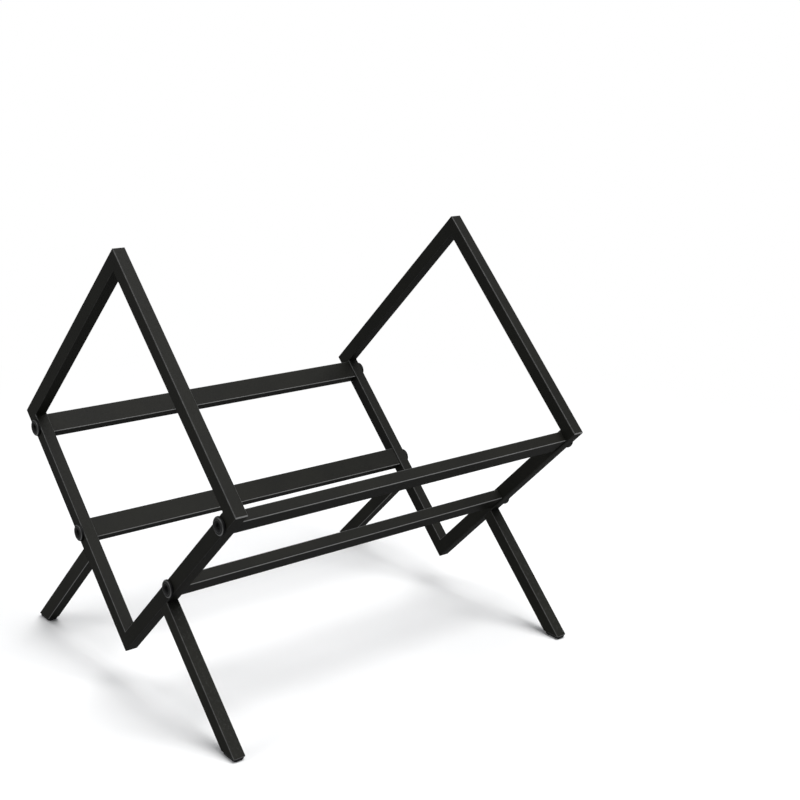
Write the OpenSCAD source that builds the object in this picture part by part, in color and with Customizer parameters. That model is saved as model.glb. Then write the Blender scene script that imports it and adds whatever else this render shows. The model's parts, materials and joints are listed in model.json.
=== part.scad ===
// Record storage stand, millimetres, standing on z = 0 and centred over the origin.
// Two square end frames stand on one corner and carry two splayed legs each;
// four bolted rails run along Y between them and hold the load in a V.

/* [End frame] */
// Outer side of each square end frame
frame_side = 240; // [200:1:300]
// Height of the lowest frame corner above the floor
corner_height = 28; // [18:1:60]
// Length over the outer faces of the two end frames
stand_length = 360; // [200:1:500]
// Rounding of the ground mitre corners
frame_corner_round = 2; // [1.7:0.1:2.4]

/* [Frame tube] */
// Outside width of the frame and leg tube, in the plane of the end frame
tube_width = 13; // [12:0.1:14.5]
// Outside depth of the frame and leg tube, along the rails
tube_depth = 11; // [9:0.1:12]
// Wall thickness of the frame and leg tube
tube_wall = 1; // [0.8:0.1:1.4]
// Outside edge radius of the frame and leg tube
tube_edge = 1.2; // [0.8:0.1:1.6]
// Smallest inside edge radius of any tube
inside_edge_min = 0.2; // [0.1:0.05:0.4]

/* [Legs] */
// Distance along the lower arm from the lowest corner to the leg's centre
leg_along = 92; // [70:1:100]
// Leg length of the small weld fillets beside each leg
weld_size = 1.5; // [0.8:0.1:2.5]

/* [Rails] */
// Outside width of the flat rail tube, along the lower arm
rail_width = 19; // [16:0.5:20]
// Outside height of the flat rail tube, across the lower arm
rail_height = 10; // [9.6:0.1:12]
// Wall thickness of the rail tube
rail_wall = 1; // [0.8:0.1:1.4]
// Outside edge radius of the rail tube
rail_edge = 1.3; // [0.8:0.1:2]
// Distance along the lower arm from the lowest corner to the lower rail
rail_low_along = 111; // [109:1:150]
// Distance from the side corner of the frame to the upper rail
rail_high_inset = 22.5; // [21:0.1:40]

/* [Bolts] */
// Shank diameter
bolt_d = 6; // [5:0.5:6.5]
// Shank length under the head
bolt_length = 25; // [18:1:26]
// Radial clearance of the bolt in the frame tube
bolt_hole_clearance = 0.25; // [0.1:0.05:0.4]
// Head diameter
head_d = 15; // [12:0.1:16]
// Head height
head_height = 2.6; // [2.4:0.1:3.4]
// Rounding of the head's rim
head_rim_round = 1.3; // [0.8:0.1:1.7]
// Hex socket across flats
socket_flats = 5; // [4:0.5:5]
// Hex socket depth
socket_depth = 2; // [1.6:0.1:2.1]
// Diameter of the dish round the socket
socket_dish_d = 9.4; // [8:0.1:10]
// Depth of that dish
socket_dish_depth = 0.6; // [0.4:0.1:0.9]
// Chamfer at the shank's tip
bolt_tip_chamfer = 0.8; // [0.4:0.1:1.2]

/* [Threaded plugs] */
// Length of the plug welded into each rail end
plug_length = 17; // [17:0.5:30]
// Clearance of the plug in the rail, each side
plug_clearance = 0.05; // [0.02:0.01:0.15]
// Radial clearance of the shank in the plug's tapped hole
plug_bore_clearance = 0.05; // [0.03:0.01:0.1]
// Edge radius of the plug
plug_edge = 0.6; // [0.5:0.1:1]

/* [Floor glides] */
// Thickness of the pad under each leg
glide_height = 3; // [2.4:0.1:4]
// How far the pad stays inside the outside of the leg tube, each side
glide_inset = 0.6; // [0.3:0.1:0.8]
// Corner radius of the pad seen from above
glide_corner = 2.4; // [1:0.1:3]
// How far the pad's foot is domed, per step of the dome
glide_dome = 1.2; // [0.6:0.1:1.4]
// Length of the ribbed part of the stem in the leg
glide_stem = 13; // [10:0.5:20]
// Core width of the stem
glide_core = 5.5; // [4:0.1:6.4]
// Number of ribs on the stem
glide_ribs = 4; // [2:1:5]
// Thickness of each rib
glide_rib_thickness = 1.1; // [0.8:0.1:1.4]
// Clearance of the ribs in the leg tube, each side
glide_rib_clearance = 0.05; // [0.02:0.01:0.12]

/* [Hidden] */
$fn = 48;
half = stand_length / 2;
mid = tube_width / 2;
mid_depth = tube_depth / 2;
rail_high_along = frame_side - rail_high_inset;
rail_length = stand_length - 2 * tube_depth;
hole_d = bolt_d + 2 * bolt_hole_clearance;
plug_inset = 2 * (rail_wall + plug_clearance);
plug_width = rail_width - plug_inset;
plug_height = rail_height - plug_inset;
plug_bore_d = bolt_d + 2 * plug_bore_clearance;
leg_reach = sqrt(2) * (corner_height - glide_height) + leg_along;
foot_x = sqrt(2) * leg_along + corner_height - glide_height;
pad_x = (tube_width - 2 * glide_inset) * sqrt(2);
pad_y = tube_depth - 2 * glide_inset;
rib_inset = 2 * (tube_wall + glide_rib_clearance);
rib_pitch = glide_stem / glide_ribs;
over = 1;
steel = [0.10, 0.10, 0.10];
bolt_black = [0.08, 0.08, 0.09];
plastic = [0.05, 0.05, 0.05];
plug_steel = [0.45, 0.45, 0.46];

// ---- profiles ----

// Square with round corners, centred
module rounded_square(side_x, side_y, r) {
  square([side_x, side_y - 2 * r], center = true);
  square([side_x - 2 * r, side_y], center = true);
  for (x = [-1, 1], y = [-1, 1])
    translate([x * (side_x / 2 - r), y * (side_y / 2 - r)]) circle(r);
}

// Wall of a square or flat tube, centred
module tube_profile(side_x, side_y, wall, edge) {
  difference() {
    rounded_square(side_x, side_y, edge);
    rounded_square(side_x - 2 * wall, side_y - 2 * wall, max(inside_edge_min, edge - wall));
  }
}

// Flat outline drawn in x and z, given a thickness along y from y = 0
module slab(thickness) {
  translate([0, thickness, 0]) rotate([90, 0, 0]) linear_extrude(thickness) children();
}

// ---- places ----

// End frame's own axes: x along the lower right arm, z along the lower left
// arm, y from the outer face inwards, origin at the lowest corner
module on_frame() {
  translate([0, -half, corner_height]) rotate([0, -45, 0]) children();
}

module left() {
  mirror([1, 0, 0]) children();
}

module rear() {
  mirror([0, 1, 0]) children();
}

// ---- end frame, right half of the front one ----

module frame_tube(length) {
  linear_extrude(length) tube_profile(tube_width, tube_depth, tube_wall, tube_edge);
}

// Outline of the whole square, with its corners ground round
module frame_limit() {
  slab(tube_depth) translate([frame_side / 2, frame_side / 2])
    rounded_square(frame_side, frame_side, frame_corner_round);
}

module bolt_holes() {
  for (along = [rail_low_along, rail_high_along])
    translate([along, -over, mid]) rotate([-90, 0, 0])
      cylinder(d = hole_d, h = tube_depth + 2 * over);
}

module arm_lower() {
  color(steel) on_frame() difference() {
    intersection() {
      translate([0, mid_depth, mid]) rotate([0, 90, 0]) frame_tube(frame_side);
      slab(tube_depth) polygon([
        [0, 0], [frame_side, 0],
        [frame_side - tube_width, tube_width], [tube_width, tube_width]
      ]);
      frame_limit();
    }
    bolt_holes();
  }
}

module arm_upper() {
  color(steel) on_frame() intersection() {
    translate([frame_side - mid, mid_depth, 0]) frame_tube(frame_side);
    slab(tube_depth) polygon([
      [frame_side, 0], [frame_side, frame_side],
      [frame_side - tube_width, frame_side - tube_width], [frame_side - tube_width, tube_width]
    ]);
    frame_limit();
  }
}

// ---- legs ----

module leg() {
  color(steel) intersection() {
    on_frame() translate([leg_along, mid_depth, -leg_reach - tube_width])
      frame_tube(leg_reach + tube_width);
    translate([0, -half - over, glide_height])
      cube([2 * foot_x, tube_depth + 2 * over, 2 * frame_side]);
  }
}

// Two small fillets in the corners between the leg and the arm it meets
module leg_weld() {
  color(steel) on_frame() for (side = [-1, 1])
    translate([leg_along + side * mid, tube_edge, 0])
      slab(tube_depth - 2 * tube_edge)
        polygon([[0, 0], [side * weld_size, 0], [0, -weld_size]]);
}

// Outline of the domed pad seen from one side, in three straight steps
function dome_outline(across) = [
  [-across / 2 + 2 * glide_dome, 0], [across / 2 - 2 * glide_dome, 0],
  [across / 2 - 0.8 * glide_dome, 0.4 * glide_dome], [across / 2, 1.2 * glide_dome],
  [across / 2, glide_height], [-across / 2, glide_height],
  [-across / 2, 1.2 * glide_dome], [-across / 2 + 0.8 * glide_dome, 0.4 * glide_dome]
];

module glide_pad() {
  intersection() {
    linear_extrude(glide_height) rounded_square(pad_x, pad_y, glide_corner);
    translate([0, -pad_y / 2, 0]) slab(pad_y) polygon(dome_outline(pad_x));
    rotate([0, 0, 90]) translate([0, -pad_x / 2, 0]) slab(pad_x) polygon(dome_outline(pad_y));
  }
}

// Ribbed stem, straight up the leg from the pad's top
module glide_stem_body() {
  translate([0, 0, -tube_width]) linear_extrude(tube_width + mid + glide_stem)
    rounded_square(glide_core, glide_core, plug_edge);
  for (i = [1 : glide_ribs])
    translate([0, 0, mid + i * rib_pitch - glide_rib_thickness])
      linear_extrude(glide_rib_thickness)
        rounded_square(tube_width - rib_inset, tube_depth - rib_inset, plug_edge);
}

module glide() {
  color(plastic) union() {
    translate([foot_x, -half + mid_depth, 0]) glide_pad();
    intersection() {
      on_frame() translate([leg_along, mid_depth, -leg_reach]) glide_stem_body();
      translate([0, -half, glide_height]) cube([2 * foot_x, tube_depth, frame_side]);
    }
  }
}

// ---- rails, right side ----

module rail(along) {
  color(steel) on_frame() translate([along, tube_depth, mid]) rotate([-90, 0, 0])
    linear_extrude(rail_length) tube_profile(rail_width, rail_height, rail_wall, rail_edge);
}

module rail_plug(along) {
  color(plug_steel) on_frame() translate([along, tube_depth, mid]) rotate([-90, 0, 0])
    linear_extrude(plug_length) difference() {
      rounded_square(plug_width, plug_height, plug_edge);
      circle(d = plug_bore_d);
    }
}

// ---- bolts ----

// Half outline of the head and shank, turned about the bolt's axis
module bolt_outline() {
  head_r = head_d / 2;
  shank_r = bolt_d / 2;
  rim_r = min(head_rim_round, head_height / 2);
  polygon([
    [0, -bolt_length], [shank_r - bolt_tip_chamfer, -bolt_length],
    [shank_r, bolt_tip_chamfer - bolt_length], [shank_r, 0], [head_r, 0],
    [head_r, head_height - rim_r], [head_r - rim_r, head_height],
    [0, head_height]
  ]);
  translate([head_r - rim_r, head_height - rim_r]) circle(rim_r);
}

module bolt(along) {
  color(bolt_black) on_frame() translate([along, 0, mid]) rotate([90, 0, 0]) difference() {
    rotate_extrude() bolt_outline();
    translate([0, 0, head_height - socket_depth])
      cylinder(d = socket_flats / cos(30), h = socket_depth + over, $fn = 6);
    translate([0, 0, head_height - socket_dish_depth])
      cylinder(d1 = socket_flats, d2 = socket_dish_d, h = socket_dish_depth);
  }
}

// ---- one line for each piece ----

arm_lower();  // front_arm_lower_right
arm_upper();  // front_arm_upper_right
left() arm_lower();  // front_arm_lower_left
left() arm_upper();  // front_arm_upper_left
rear() arm_lower();  // rear_arm_lower_right
rear() arm_upper();  // rear_arm_upper_right
rear() left() arm_lower();  // rear_arm_lower_left
rear() left() arm_upper();  // rear_arm_upper_left

leg();  // front_leg_right
left() leg();  // front_leg_left
rear() leg();  // rear_leg_right
rear() left() leg();  // rear_leg_left

leg_weld();  // front_leg_weld_right
left() leg_weld();  // front_leg_weld_left
rear() leg_weld();  // rear_leg_weld_right
rear() left() leg_weld();  // rear_leg_weld_left

rail(rail_low_along);  // rail_lower_right
rail(rail_high_along);  // rail_upper_right
left() rail(rail_low_along);  // rail_lower_left
left() rail(rail_high_along);  // rail_upper_left

rail_plug(rail_low_along);  // front_plug_lower_right
rail_plug(rail_high_along);  // front_plug_upper_right
left() rail_plug(rail_low_along);  // front_plug_lower_left
left() rail_plug(rail_high_along);  // front_plug_upper_left
rear() rail_plug(rail_low_along);  // rear_plug_lower_right
rear() rail_plug(rail_high_along);  // rear_plug_upper_right
rear() left() rail_plug(rail_low_along);  // rear_plug_lower_left
rear() left() rail_plug(rail_high_along);  // rear_plug_upper_left

bolt(rail_low_along);  // front_bolt_lower_right
bolt(rail_high_along);  // front_bolt_upper_right
left() bolt(rail_low_along);  // front_bolt_lower_left
left() bolt(rail_high_along);  // front_bolt_upper_left
rear() bolt(rail_low_along);  // rear_bolt_lower_right
rear() bolt(rail_high_along);  // rear_bolt_upper_right
rear() left() bolt(rail_low_along);  // rear_bolt_lower_left
rear() left() bolt(rail_high_along);  // rear_bolt_upper_left

glide();  // front_glide_right
left() glide();  // front_glide_left
rear() glide();  // rear_glide_right
rear() left() glide();  // rear_glide_left
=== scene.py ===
"""Looks of a record storage stand: two square end frames that each stand on one
corner, four splayed legs and four bolted rails, in satin black powder coat.
Metres, floor at z = 0, +Y from the front end frame to the rear one."""

import json
import math

import bmesh
import bpy
from mathutils import Matrix, Vector


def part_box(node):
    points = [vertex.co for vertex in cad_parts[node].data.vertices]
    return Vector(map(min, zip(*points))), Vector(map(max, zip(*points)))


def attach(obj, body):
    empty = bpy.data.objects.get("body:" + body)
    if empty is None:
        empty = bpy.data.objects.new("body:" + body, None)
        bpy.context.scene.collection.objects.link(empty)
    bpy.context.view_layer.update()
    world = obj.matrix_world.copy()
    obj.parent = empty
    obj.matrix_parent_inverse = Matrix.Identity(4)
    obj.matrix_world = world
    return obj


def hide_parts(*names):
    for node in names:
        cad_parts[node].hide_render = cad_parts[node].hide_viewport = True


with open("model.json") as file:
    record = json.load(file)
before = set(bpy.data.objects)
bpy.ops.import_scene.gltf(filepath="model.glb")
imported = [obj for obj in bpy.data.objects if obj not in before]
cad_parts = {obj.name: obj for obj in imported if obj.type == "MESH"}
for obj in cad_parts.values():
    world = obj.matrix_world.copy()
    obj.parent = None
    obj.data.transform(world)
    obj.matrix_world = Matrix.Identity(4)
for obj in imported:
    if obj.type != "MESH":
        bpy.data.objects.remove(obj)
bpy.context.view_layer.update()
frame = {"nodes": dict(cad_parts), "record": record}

MM = 0.001

# Arms and legs lean at 45 degrees, so lengths along them and their rises differ by this
ROOT_2 = math.sqrt(2)

# ---- names and sizes, read off the frame ----

ENDS = {"front": -1, "rear": 1}
SIDES = {"right": 1, "left": -1}
LEVELS = ("lower", "upper")


def middle(node):
    """Centre of a node's box."""
    low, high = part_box(node)
    return (low + high) / 2


BOLT_LOW = middle("front_bolt_lower_right")
BOLT_HIGH = middle("front_bolt_upper_right")
END_FACE = -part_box("front_arm_lower_right")[0].y


# ---- shader maths ----


class Value:
    """A node's output socket that takes part in Python arithmetic."""

    def __init__(self, paint, socket):
        self.paint = paint
        self.socket = socket

    def _math(self, operation, *others):
        inputs = {i: v for i, v in enumerate((self,) + others)}
        return self.paint.node("ShaderNodeMath", {"operation": operation}, inputs)

    def __add__(self, other):
        return self._math("ADD", other)

    __radd__ = __add__

    def __sub__(self, other):
        return self._math("SUBTRACT", other)

    def __rsub__(self, other):
        return self.paint.node("ShaderNodeMath", {"operation": "SUBTRACT"}, {0: other, 1: self})

    def __mul__(self, other):
        return self._math("MULTIPLY", other)

    __rmul__ = __mul__

    def __pow__(self, other):
        return self._math("POWER", other)

    def __abs__(self):
        return self._math("ABSOLUTE")

    def highest(self, other):
        return self._math("MAXIMUM", other)

    def lowest(self, other):
        return self._math("MINIMUM", other)

    def root(self):
        return self._math("SQRT")

    def ramp(self, low, high, to_low=0.0, to_high=1.0):
        """Smooth step from to_low at low to to_high at high."""
        settings = {"interpolation_type": "SMOOTHSTEP"}
        values = {"Value": self, "From Min": low, "From Max": high}
        values.update({"To Min": to_low, "To Max": to_high})
        return self.paint.node("ShaderNodeMapRange", settings, values, "Result")

    def band(self, start, full, fade, end):
        """1 from full to fade, 0 before start and after end."""
        return self.ramp(start, full) * self.ramp(fade, end, 1.0, 0.0)

    def waves(self, pitch):
        """Sine wave with one crest for each pitch in metres."""
        return (self * (2 * math.pi / pitch))._math("SINE")


class Paint:
    """The nodes of a material, or of the world, under construction."""

    def __init__(self, owner):
        self.owner = owner
        owner.use_nodes = True
        self.tree = owner.node_tree
        self.tree.nodes.clear()

    def node(self, kind, settings=None, values=None, output=0):
        """Adds a node: settings first, then the values or links of its sockets."""
        made = self.tree.nodes.new(kind)
        for key, setting in (settings or {}).items():
            setattr(made, key, setting)
        for key, value in (values or {}).items():
            if isinstance(value, Value):
                self.tree.links.new(value.socket, made.inputs[key])
            else:
                made.inputs[key].default_value = value
        return Value(self, made.outputs[output]) if made.outputs else None

    def place(self):
        """Position in the object's own frame."""
        return self.node("ShaderNodeTexCoord", output="Object")

    def split(self, vector):
        """A vector's x, y and z."""
        made = self.node("ShaderNodeSeparateXYZ", values={"Vector": vector})
        outputs = made.socket.node.outputs
        return tuple(Value(self, outputs[i]) for i in range(3))

    def noise(self, grain, detail=2.0, rough=0.5):
        """Noise whose blotches are about grain metres wide, 0 to 1."""
        values = {"Scale": 1 / grain, "Detail": detail, "Roughness": rough}
        values["Vector"] = self.place()
        return self.node("ShaderNodeTexNoise", values=values, output="Fac")

    def mix(self, factor, first, second):
        """Colour mix: the node takes its colours at 6 and 7 and gives the result at 2."""
        values = {0: factor, 6: first, 7: second}
        made = self.node("ShaderNodeMix", {"data_type": "RGBA"}, values)
        return Value(self, made.socket.node.outputs[2])

    def facing(self):
        """World normal of the surface, as x, y and z."""
        return self.split(self.node("ShaderNodeNewGeometry", output="Normal"))

    def tube_edges(self, under):
        """1 in the middle of a tube's rounded long edges, 0 on its flat sides.

        Edges that face down get under in place of 1. A flat side faces along Y or along
        one of the two slants."""
        x, y, z = self.facing()
        along = abs(x + z) * math.sqrt(0.5)
        across = abs(x - z) * math.sqrt(0.5)
        flat = along.highest(across).highest(abs(y)).ramp(0.76, 0.985)
        return (1 - flat) * z.ramp(-0.45, -0.1, under, 1.0)

    def bump(self, height, depth, under=None):
        """Bump of the given depth in metres for a height of 1."""
        values = {"Height": height, "Distance": depth, "Strength": 1.0}
        if under:
            values["Normal"] = under
        return self.node("ShaderNodeBump", values=values)

    def shell(self, **sockets):
        """Principled surface, wired to the output."""
        values = {key.replace("_", " "): value for key, value in sockets.items()}
        shader = self.node("ShaderNodeBsdfPrincipled", values=values)
        self.node("ShaderNodeOutputMaterial", values={"Surface": shader})
        return self.owner


def grey(level, warm=0.0):
    """Linear grey, with less blue by the share warm."""
    return (level, level, level * (1 - warm), 1.0)


# ---- finishes ----


def powder_coat(name="powder_coat", edge_highlight=1.0, under=0.25, dust_and_top_light=0.06, pale=1.0):
    """Satin black powder coat: orange peel, fine grain with painted glints, painted highlights
    along the edges with some wear on them, and a dusting on top, on the legs also painted
    light.

    burnish scales the painted edge highlights, and under is what those that face down get
    of them, where more than 1 makes them brighter than the rest. dusty is the strength of the
    dusting on upward faces, on the legs strong enough to paint light on them too, and pale
    scales the grey of the coat itself, whose lighter and darker copies stand in for light and
    shade."""
    # The coat's grey, scaled by pale, which makes lighter and darker copies that stand in for
    # light and shade.
    thick, thin = grey(0.0082 * pale, 0.18), grey(0.0114 * pale, 0.22)
    glint_grey = grey(0.030, 0.12)
    highlight_and_wear_grey, strong_highlight_grey, scuffed = grey(0.085, 0.01), grey(0.310, 0.01), grey(0.150, 0.02)
    dust_and_top_light_grey = grey(0.08, 0.04)
    p = Paint(bpy.data.materials.new(name))
    peel = p.noise(1.6 * MM, detail=1.5)
    grain = p.noise(0.22 * MM)
    cloud = p.noise(38 * MM, detail=3.0)
    rub = p.noise(5 * MM, detail=4.0, rough=0.65)
    out, _, up = p.facing()
    # Painted highlights along the rounded tube edges, weaker where the edges face down, with
    # real wear from the rub noise on them.
    edge = p.tube_edges(under) * edge_highlight
    outward = abs(out).ramp(0.75, 0.97)
    worn = edge * rub.ramp(0.40, 0.70)
    # A dusting on upward faces; at the legs' strength it is also painted light that makes their
    # upper faces lighter.
    dust_and_top_light_mask = up.ramp(0.35, 0.9) * p.noise(2.6 * MM, detail=5.0, rough=0.7).ramp(0.48, 0.8)
    color = p.mix(cloud.ramp(0.3, 0.7), thick, thin)
    # Painted glints: lighter flecks in the fine grain, standing in for light caught by it.
    color = p.mix(grain.ramp(0.52, 0.74) * 0.22, color, glint_grey)
    # Painted highlights: every edge lighter, edges facing along X brighter still, and downward
    # edges too where under is above 1; then the real scuffs on the edges.
    color = p.mix(edge * 0.85, color, highlight_and_wear_grey)
    color = p.mix(edge * outward * 0.85, color, strong_highlight_grey)
    color = p.mix((edge - 1.0) * 1.4, color, strong_highlight_grey)
    color = p.mix(worn * 0.45, color, scuffed)
    color = p.mix(dust_and_top_light_mask * dust_and_top_light, color, dust_and_top_light_grey)
    roughness = 0.50 + cloud * 0.08 - edge * 0.08 + dust_and_top_light_mask * 0.2
    normal = p.bump(grain, 0.018 * MM, p.bump(peel, 0.060 * MM))
    return p.shell(
        Base_Color=color, Roughness=roughness, Normal=normal, Specular_IOR_Level=0.11
    )


def black_bolt():
    """Black coated steel: turning marks round the axis, a rim lighter with painted highlight
    and some wear, and painted shade in the socket and on the side.

    The rim and the shade go by the distance from the axis of the nearest bolt, and the rim's
    painted highlight is strongest where it faces down, as a painted reflection of the floor."""
    thick, thin, painted_shade_grey = grey(0.0075, -0.02), grey(0.013), grey(0.0015)
    highlight_and_wear_grey, strong_highlight_grey = grey(0.070, 0.01), grey(0.250, 0.01)
    p = Paint(bpy.data.materials.new("black_bolt"))
    x, _, z = p.split(p.place())
    across = abs(x)
    low = ((across - BOLT_LOW.x) ** 2 + (z - BOLT_LOW.z) ** 2).root()
    high = ((across - BOLT_HIGH.x) ** 2 + (z - BOLT_HIGH.z) ** 2).root()
    off_axis = low.lowest(high)
    rings = off_axis.waves(0.34 * MM)
    grime = p.noise(1.1 * MM, detail=4.0, rough=0.6)
    # Painted highlight with some wear: a band round the rim of the crown and a fainter one at
    # the lip of the dish.
    rim = off_axis.band(5.9 * MM, 6.5 * MM, 6.8 * MM, 7.2 * MM)
    lip = off_axis.band(4.4 * MM, 4.7 * MM, 4.8 * MM, 5.1 * MM)
    _, _, up = p.facing()
    # Painted reflection of the floor: the rim highlight is brightest where it faces down.
    painted_floor_reflection = up.ramp(-0.55, 0.30, 1.0, 0.0)
    edge = (rim * 0.9 + lip * 0.2) * grime.ramp(0.2, 0.6, 0.6, 1.0)
    # Painted shade: the hex socket and the side of the head made darker.
    hollow = off_axis.ramp(3.2 * MM, 4.9 * MM, 1.0, 0.0)
    wall = off_axis.ramp(7.0 * MM, 7.4 * MM)
    shaded = hollow.highest(wall)
    color = p.mix(grime.ramp(0.35, 0.7), thick, thin)
    color = p.mix(shaded * 0.85, color, painted_shade_grey)
    color = p.mix(edge, color, p.mix(painted_floor_reflection, highlight_and_wear_grey, strong_highlight_grey))
    roughness = 0.34 + grime * 0.14 - edge * 0.06 + shaded * 0.25
    normal = p.bump(rings, 0.004 * MM, p.bump(grime, 0.012 * MM))
    return p.shell(
        Base_Color=color, Roughness=roughness, Normal=normal, Specular_IOR_Level=0.22
    )


def glide_plastic():
    """Moulded black plastic, finely sparked, scuffed near the floor."""
    moulded, chalky = grey(0.007), grey(0.05, 0.04)
    p = Paint(bpy.data.materials.new("glide_plastic"))
    spark = p.noise(0.35 * MM)
    scuff = p.noise(2.2 * MM, detail=5.0, rough=0.7)
    _, _, z = p.split(p.place())
    low = z.ramp(0.2 * MM, 2.0 * MM, 1.0, 0.0)
    color = p.mix(scuff.ramp(0.45, 0.8) * low * 0.5, moulded, chalky)
    normal = p.bump(spark, 0.03 * MM)
    return p.shell(Base_Color=color, Roughness=0.55 + scuff * 0.15, Normal=normal)


def bare_steel():
    """Machined steel of the tapped plugs."""
    p = Paint(bpy.data.materials.new("bare_steel"))
    _, y, _ = p.split(p.place())
    marks = y.waves(0.3 * MM)
    stain = p.noise(3 * MM, detail=4.0)
    color = p.mix(stain, grey(0.33, 0.01), grey(0.46, 0.01))
    return p.shell(
        Base_Color=color,
        Metallic=1.0,
        Roughness=0.32 + stain * 0.12,
        Normal=p.bump(marks, 0.004 * MM),
    )


FINISHES = {
    "frame_paint": powder_coat(),
    # On the legs a lighter copy of the coat with a stronger dusting and brighter painted
    # highlights on downward edges: painted light.
    "leg_paint": powder_coat("powder_coat_on_leg", under=1.6, dust_and_top_light=0.50, pale=1.4),
    # On the weld beads a darker copy without edge highlights or dusting: painted shade in the
    # corner under the arm.
    "weld_paint": powder_coat("powder_coat_on_weld", edge_highlight=0.0, dust_and_top_light=0.0, pale=0.3),
    "bolt_black": black_bolt(),
    "glide_plastic": glide_plastic(),
    "plug_steel": bare_steel(),
}


def coat(piece, finish):
    """Gives a piece one of the finishes."""
    piece.data.materials.clear()
    piece.data.materials.append(FINISHES[finish])


for part in frame["record"]["subparts"]:
    coat(frame["nodes"][part["node"]], part["material_slot"])


# ---- pieces in mesh ----


def solid(name, points, faces, finish):
    """Smooth mesh piece in one of the finishes."""
    mesh = bpy.data.meshes.new(name)
    mesh.from_pydata(points, [], faces)
    mesh.polygons.foreach_set("use_smooth", [True] * len(faces))
    mesh.validate()
    shell = bmesh.new()
    shell.from_mesh(mesh)
    bmesh.ops.recalc_face_normals(shell, faces=shell.faces)
    shell.to_mesh(mesh)
    shell.free()
    piece = bpy.data.objects.new(name, mesh)
    bpy.context.scene.collection.objects.link(piece)
    coat(piece, finish)
    return piece


def skin(rings, tube=False):
    """Points and faces over rings of equal count, with capped ends or as a tube's wall."""
    if tube:
        rings = rings + rings[:1]
    points = [point for ring in rings for point in ring]
    count = len(rings[0])
    faces = []
    for low in range(0, len(points) - count, count):
        for i in range(count):
            j = (i + 1) % count
            faces.append((low + i, low + j, low + count + j, low + count + i))
    if tube:
        wrap = len(points) - count
        faces = [tuple(i % wrap for i in face) for face in faces]
        return points[:wrap], faces
    faces.append(tuple(reversed(range(count))))
    faces.append(tuple(range(len(points) - count, len(points))))
    return points, faces


def joined(first, second):
    """Points and faces of two skins as one."""
    shift = len(first[0])
    moved = [tuple(i + shift for i in face) for face in second[1]]
    return first[0] + second[0], first[1] + moved


def quarter_turn(steps):
    """Angles from 0 to a right angle, in equal steps."""
    return [math.pi / 2 * step / steps for step in range(steps + 1)]


CORNER_STEPS = 6


def loop(half_x, half_y, corner):
    """Rounded rectangle round the origin, with CORNER_STEPS edges to each corner."""
    points = []
    for place, (side_x, side_y) in enumerate(((1, 1), (-1, 1), (-1, -1), (1, -1))):
        for step in range(CORNER_STEPS + 1):
            turn = math.pi / 2 * (place + step / CORNER_STEPS)
            x = side_x * (half_x - corner) + corner * math.cos(turn)
            y = side_y * (half_y - corner) + corner * math.sin(turn)
            points.append((x, y))
    return points


# Leg tube, in mm, and the rounding of its cut end
LEG_HALF = (6.5, 5.5)
LEG_EDGE = 1.2
LEG_EDGE_INSIDE = 0.2
LEG_WALL = 1.0
CUT_ROUND = 0.9
CUT_STEPS = 6


def leg_rings(length):
    """Rings down the outside of a leg, round its cut end and up the inside again.

    Each point is across the leg, along Y, and down the leg, and length is that of the
    leg's axis. A station is an inset and a rise above the cut, or None at the top."""
    stations = [(0.0, None)]
    for bend in quarter_turn(CUT_STEPS):
        inset = CUT_ROUND * (1 - math.cos(bend))
        stations.append((inset, CUT_ROUND * (1 - math.sin(bend))))
    stations += [(LEG_WALL, 0.0), (LEG_WALL, None)]
    rings = []
    for inset, rise in stations:
        corner = max(LEG_EDGE - inset, LEG_EDGE_INSIDE)
        row = []
        for across, y in loop(LEG_HALF[0] - inset, LEG_HALF[1] - inset, corner):
            down = 0.0 if rise is None else length + across - rise * ROOT_2
            row.append((across, y, down))
        rings.append(row)
    return rings


def legs():
    """Splayed legs of square tube, their slanted ends filed round."""
    for end in ENDS:
        for side, hand in SIDES.items():
            node = f"{end}_leg_{side}"
            low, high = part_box(node)
            top = high.z - LEG_HALF[0] * MM / ROOT_2
            foot = max(high.x, -low.x) - LEG_HALF[0] * MM * ROOT_2
            centre = (low.y + high.y) / 2
            length = (top - low.z) * ROOT_2
            rings = []
            for ring in leg_rings(length / MM):
                row = []
                for across, y, down in ring:
                    back = length - down * MM
                    x = foot + (across * MM - back) / ROOT_2
                    z = low.z + (across * MM + back) / ROOT_2
                    row.append((hand * x, centre + y * MM, z))
                rings.append(row)
            piece = solid(node + "_tube", *skin(rings, tube=True), "leg_paint")
            piece.modifiers.new("flat_sides", "WEIGHTED_NORMAL")
            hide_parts(node)
            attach(piece, "root")


# Bolt, in mm: distance from the seat along the axis, outwards positive. The fillet and
# the crown are a width and a height
HEAD_R = 7.5
HEAD_H = 2.6
HEAD_ROUND = 0.35
HEAD_FILLET = (0.22, 0.25)
CROWN = (2.1, 1.75)
DISH_R = 4.7
DISH_DEPTH = 0.6
DISH_CURVE = 0.7
HEX_FLATS = 5.0
HEX_FLOOR = 0.6
SHANK_R = 3.0
SHANK_END = -25.0
TIP_BEVEL = 0.75

# Its thread, in mm, from a foot above the tip to where it runs out, where THREAD_FLANK is
# the share of a pitch that slopes
PITCH = 1.0
THREAD_FOOT = 0.35
THREAD_START = -7.0
THREAD_RUN_OUT = 1.5
THREAD_DEPTH = 0.55
THREAD_FLANK = 0.8

# Its eased edges, in mm, as pairs of a change of radius and a distance along the axis,
# and the drill point as pairs of a radius and a depth
TIP_EASE = ((-1.1, 0.0), (-TIP_BEVEL, 0.12))
DISH_EASE = ((0.12, 0.0), (0.0, 0.04), (-0.1, 0.14))
HEX_EASE = ((-0.02, 0.15), (-0.17, 0.0))
DRILL_POINT = ((1.9, 0.05), (0.2, 0.55))

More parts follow.
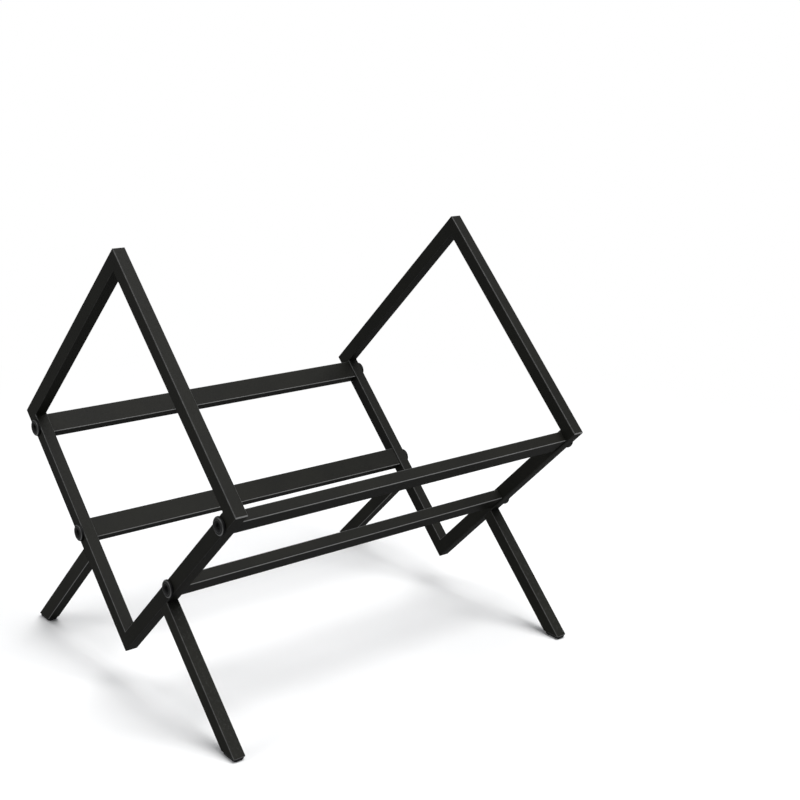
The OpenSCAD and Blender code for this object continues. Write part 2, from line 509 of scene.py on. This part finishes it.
# How finely the bolt is divided
TURN_STEPS = 72
PITCH_STEPS = 8
ROUND_STEPS = 3
CROWN_STEPS = 12
DISH_SHARES = (0.25, 0.5, 0.75, 1.0)


def hex_radius(angle):
    """Distance from the axis to the wall of the hex socket."""
    sector = math.pi / 3
    return HEX_FLATS / 2 / math.cos((angle % sector) - sector / 2)


def thread_radius(angle, along):
    """Radius of the cut thread at a turn angle and a place along the shank."""
    phase = (along / PITCH - angle / (2 * math.pi)) % 1.0
    flank = min(abs(phase - 0.5) * 2 / THREAD_FLANK, 1.0)
    run_out = min(max((THREAD_START - along) / THREAD_RUN_OUT, 0.0), 1.0)
    return SHANK_R - THREAD_DEPTH * (1 - flank) * run_out


def bolt_rings():
    """Rings of the bolt from its tip to the drill point under its hex socket.

    Each point is a radius, an angle and a distance from the seat."""
    angles = [2 * math.pi * i / TURN_STEPS for i in range(TURN_STEPS)]
    rings = []
    for change, rise in TIP_EASE:
        rings.append([(SHANK_R + change, a, SHANK_END + rise) for a in angles])
    step = PITCH / PITCH_STEPS
    along = SHANK_END + THREAD_FOOT
    while along < THREAD_START + step:
        taper = SHANK_R - max(0.0, TIP_BEVEL - (along - SHANK_END))
        rings.append([(min(thread_radius(a, along), taper), a, along) for a in angles])
        along += step
    rings.append([(SHANK_R, a, -HEAD_FILLET[1]) for a in angles])
    rings.append([(SHANK_R + HEAD_FILLET[0], a, 0.0) for a in angles])
    for bend in quarter_turn(ROUND_STEPS):
        reach = HEAD_R - HEAD_ROUND + HEAD_ROUND * math.sin(bend)
        height = HEAD_ROUND - HEAD_ROUND * math.cos(bend)
        rings.append([(reach, a, height) for a in angles])
    for bend in quarter_turn(CROWN_STEPS):
        reach = HEAD_R - CROWN[0] + CROWN[0] * math.cos(bend)
        height = HEAD_H - CROWN[1] + CROWN[1] * math.sin(bend)
        rings.append([(reach, a, height) for a in angles])
    for change, depth in DISH_EASE:
        rings.append([(DISH_R + change, a, HEAD_H - depth) for a in angles])
    lip = DISH_R + DISH_EASE[-1][0]
    sunk = DISH_EASE[-1][1]
    for share in DISH_SHARES:
        height = HEAD_H - sunk - (DISH_DEPTH - sunk) * share ** DISH_CURVE
        rings.append([(lip + (hex_radius(a) - lip) * share, a, height) for a in angles])
    for change, rise in HEX_EASE:
        rings.append([(hex_radius(a) + change, a, HEX_FLOOR + rise) for a in angles])
    for reach, depth in DRILL_POINT:
        rings.append([(reach, a, HEX_FLOOR - depth) for a in angles])
    return rings


def bolts():
    """Button head bolts with cut threads, one at each rail end."""
    rings = bolt_rings()
    for end, way in ENDS.items():
        for level in LEVELS:
            for side in SIDES:
                node = f"{end}_bolt_{level}_{side}"
                centre = middle(node)
                seat = way * END_FACE
                # The angle at which this bolt came to a stop
                turned = (len(node) * 7 + way * 11) * 0.13
                placed = []
                for ring in rings:
                    row = []
                    for r, angle, along in ring:
                        x = centre.x + r * MM * math.cos(angle + turned)
                        z = centre.z + way * r * MM * math.sin(angle + turned)
                        row.append((x, seat + way * along * MM, z))
                    placed.append(row)
                piece = solid(node + "_turned", *skin(placed), "bolt_black")
                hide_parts(node)
                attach(piece, "root")


# Weld bead beside each leg, in mm: its ripples, and the taper at its ends
BEAD_R = 1.5
BEAD_PITCH = 1.45
BEAD_LAG = 0.45
BEAD_TAPER = 0.9

# Shares of the bead's radius: between ripples, what a crest adds, and at the very end
BEAD_WAIST = 0.80
BEAD_CREST = 0.18
BEAD_TIP = 0.12
CREST_CURVE = 0.6

PUDDLE_STEPS = 10
BEAD_STEPS = 8

# Directions along the lower arm and down the leg, on the right side
ARM_UNIT = Vector((1, 0, 1)) / ROOT_2
LEG_UNIT = Vector((1, 0, -1)) / ROOT_2


def bead_rings(length):
    """Quarter round bead with one crest for each puddle, tapered to both ends.

    Each point is out along the arm, down the leg and along the bead."""
    count = int(length / BEAD_PITCH * PUDDLE_STEPS)
    rings = []
    for step in range(count + 1):
        along = length * step / count
        rise = min(min(along, length - along) / BEAD_TAPER, 1.0)
        taper = math.sqrt(rise * (2 - rise))
        row = [(0.0, 0.0, along)]
        for bend in quarter_turn(BEAD_STEPS):
            lag = BEAD_LAG * math.sin(2 * bend) ** 2
            crest = abs(math.sin(math.pi * (along + lag) / BEAD_PITCH)) ** CREST_CURVE
            reach = BEAD_R * (BEAD_WAIST + BEAD_CREST * crest) * max(taper, BEAD_TIP)
            row.append((reach * math.cos(bend), reach * math.sin(bend), along))
        rings.append(row)
    return rings


def weld_beads():
    """Rippled fillet bead on both sides of each leg, under the lower arm."""
    for end in ENDS:
        for side, hand in SIDES.items():
            node = f"{end}_leg_weld_{side}"
            low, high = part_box(node)
            centre = middle(node)
            length = (high.y - low.y) / MM
            across = (high.x - low.x) / MM * ROOT_2
            leg_half = (across / 2 - BEAD_R) * MM
            flip = Vector((hand, 1, 1))
            top = Vector((abs(centre.x), 0, centre.z))
            beads = []
            for toward in (-1, 1):
                corner = top + ARM_UNIT * (toward * leg_half)
                rows = []
                for ring in bead_rings(length):
                    row = []
                    for out, down, along in ring:
                        spot = corner + ARM_UNIT * (toward * out * MM)
                        spot += LEG_UNIT * (down * MM)
                        spot.y = low.y + along * MM
                        row.append(tuple(a * b for a, b in zip(spot, flip)))
                    rows.append(row)
                beads.append(skin(rows))
            piece = solid(node + "_bead", *joined(*beads), "weld_paint")
            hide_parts(node)
            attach(piece, "root")


# Pad of the glide under each leg, in mm: a shallow hollow, a flat ring and a domed side,
# as heights and insets from the middle of its underside outwards
PAD_HALF = (8.34, 4.9)
PAD_RINGS = (
    (0.25, 4.2),
    (0.25, 3.75),
    (0.07, 3.5),
    (0.0, 3.35),
    (0.0, 2.5),
    (0.05, 2.0),
    (0.2, 1.5),
    (0.48, 0.98),
    (0.9, 0.5),
    (1.4, 0.15),
    (1.8, 0.02),
    (2.1, 0.0),
    (3.0, 0.0),
)

# Its corners, in mm, which lose a share of the inset
PAD_CORNER = 2.4
PAD_CORNER_LEAST = 0.3
PAD_CORNER_LOSS = 0.6

# Stem of the glide, in mm: its core, and the ribs by the places of their barbed ends
STEM_CORE = 2.75
STEM_CORNER = 0.6
STEM_SUNK = 0.5
STEM_RIB = (5.45, 4.45)
RIB_CORNER = 0.8
RIB_ENDS = (9.75, 13.0, 16.25, 19.5)
RIB_THICK = 1.1
RIB_RISE = (0.05, 0.5)
BARB_SHARE = 0.93


def pad_rings():
    """Rings of the pad, from the middle of its underside round to its top."""
    rings = []
    for height, inset in PAD_RINGS:
        corner = max(PAD_CORNER - inset * PAD_CORNER_LOSS, PAD_CORNER_LEAST)
        outline = loop(PAD_HALF[0] - inset, PAD_HALF[1] - inset, corner)
        rings.append([(x, y, height) for x, y in outline])
    return rings


def stem_rings():
    """Core with barbed ribs up the leg, which leans inwards at 45 degrees.

    A station is an outline and its place up the leg, or None inside the pad."""
    core = loop(STEM_CORE, STEM_CORE, STEM_CORNER)
    rib = loop(*STEM_RIB, RIB_CORNER)
    barb = loop(STEM_RIB[0] * BARB_SHARE, STEM_RIB[1] * BARB_SHARE, RIB_CORNER)
    pad_top = PAD_RINGS[-1][0]
    stations = [(core, None)]
    for end in RIB_ENDS:
        start = end - RIB_THICK
        stations.append((core, start))
        stations += [(rib, start + rise) for rise in RIB_RISE]
        stations += [(barb, end), (core, end)]
    rings = []
    for outline, place in stations:
        row = []
        for across, y in outline:
            up = -across - STEM_SUNK * ROOT_2 if place is None else place
            x = (across - up) / ROOT_2
            z = pad_top + (across + up) / ROOT_2
            row.append((x, y, z))
        rings.append(row)
    return rings


def glides():
    """Domed plastic foot with its stem pushed into each leg."""
    shape, faces = joined(skin(pad_rings()), skin(stem_rings()))
    for end in ENDS:
        for side, hand in SIDES.items():
            node = f"{end}_glide_{side}"
            low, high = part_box(node)
            reach = max(high.x, -low.x) - PAD_HALF[0] * MM
            centre = (low.y + high.y) / 2
            points = []
            for x, y, z in shape:
                points.append((hand * (reach + x * MM), centre + y * MM, z * MM))
            piece = solid(node + "_moulded", points, faces, "glide_plastic")
            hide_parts(node)
            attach(piece, "root")


legs()
bolts()
weld_beads()
glides()


# ---- floor and light ----


def pale_floor():
    """Pale floor that keeps the shadow near the stand and fades to white far out.

    What it throws back at the stand is darker than what the camera sees of it, because
    a pale floor this close washes out satin black."""
    p = Paint(bpy.data.materials.new("pale_floor"))
    x, y, _ = p.split(p.place())
    far = (x * x + y * y).root().ramp(0.30, 1.05)
    color = p.mix(p.noise(0.5).ramp(0.2, 0.8), grey(0.92), grey(0.93))
    mirrored = p.node("ShaderNodeLightPath", output="Is Glossy Ray")
    seen = p.node("ShaderNodeLightPath", output="Is Camera Ray")
    color = p.mix(seen, grey(0.40), color)
    color = p.mix(mirrored, color, grey(0.22))
    ground = p.node("ShaderNodeBsdfDiffuse", values={"Color": color})
    white = p.node("ShaderNodeEmission", values={"Color": grey(1.0), "Strength": 1.0})
    both = p.node("ShaderNodeMixShader", values={0: far * seen, 1: ground, 2: white})
    p.node("ShaderNodeOutputMaterial", values={"Surface": both})
    return p.owner


def floor():
    """Wide floor under the stand."""
    mesh = bpy.data.meshes.new("floor")
    reach = 12.0
    sides = ((-1, -1), (1, -1), (1, 1), (-1, 1))
    mesh.from_pydata([(x * reach, y * reach, 0) for x, y in sides], [], [(0, 1, 2, 3)])
    plane = bpy.data.objects.new("floor", mesh)
    bpy.context.scene.collection.objects.link(plane)
    mesh.materials.append(pale_floor())


def soft_box(name, place, aim, size, power):
    """Rectangular area lamp of so many watts that points at aim."""
    lamp = bpy.data.lights.new(name, "AREA")
    lamp.shape = "RECTANGLE"
    lamp.size, lamp.size_y = size
    lamp.energy = power
    holder = bpy.data.objects.new(name, lamp)
    holder.location = place
    beam = Vector(aim) - Vector(place)
    holder.rotation_euler = beam.to_track_quat("-Z", "Y").to_euler()
    bpy.context.scene.collection.objects.link(holder)


def studio():
    """Room that is white to the camera and dimmer to the stand, and three lamps."""
    world = bpy.data.worlds.new("studio")
    bpy.context.scene.world = world
    p = Paint(world)
    seen = p.node("ShaderNodeLightPath", output="Is Camera Ray")
    cool = (0.95, 0.97, 1.0, 1.0)
    room = p.node("ShaderNodeBackground", values={"Color": cool, "Strength": 0.29})
    white = p.node("ShaderNodeBackground", values={"Color": grey(1.0), "Strength": 1.0})
    both = p.node("ShaderNodeMixShader", values={0: seen, 1: room, 2: white})
    p.node("ShaderNodeOutputWorld", values={"Surface": both})
    soft_box("overhead", (1.0, 0.6, 4.3), (0, 0, 0.1), (3.6, 3.6), 190)
    soft_box("side", (1.2, 0.3, 2.4), (0, 0, 0.05), (0.9, 0.9), 11)
    soft_box("front", (-0.7, -1.9, 1.0), (0, 0, 0.12), (1.2, 0.9), 13)


def camera():
    """Camera of the photograph, fitted to the end frames, legs and rails."""
    frame_px = 800
    focal_px = 1349.5
    place = Vector((926.4, -671.0, 539.7)) * MM
    yaw, pitch, roll = 0.8687, -0.2738, -0.0253
    data = bpy.data.cameras.new("camera")
    data.sensor_fit = "HORIZONTAL"
    data.sensor_width = 36.0
    data.lens = focal_px / frame_px * data.sensor_width
    data.clip_end = 100
    eye = bpy.data.objects.new("camera", data)
    turn = Matrix.Rotation(yaw, 4, "Z") @ Matrix.Rotation(pitch, 4, "X")
    turn = turn @ Matrix.Rotation(roll, 4, "Y") @ Matrix.Rotation(math.pi / 2, 4, "X")
    eye.matrix_world = Matrix.Translation(place) @ turn
    bpy.context.scene.collection.objects.link(eye)
    bpy.context.scene.camera = eye


floor()
studio()
camera()
bpy.context.scene.view_settings.view_transform = "Standard"
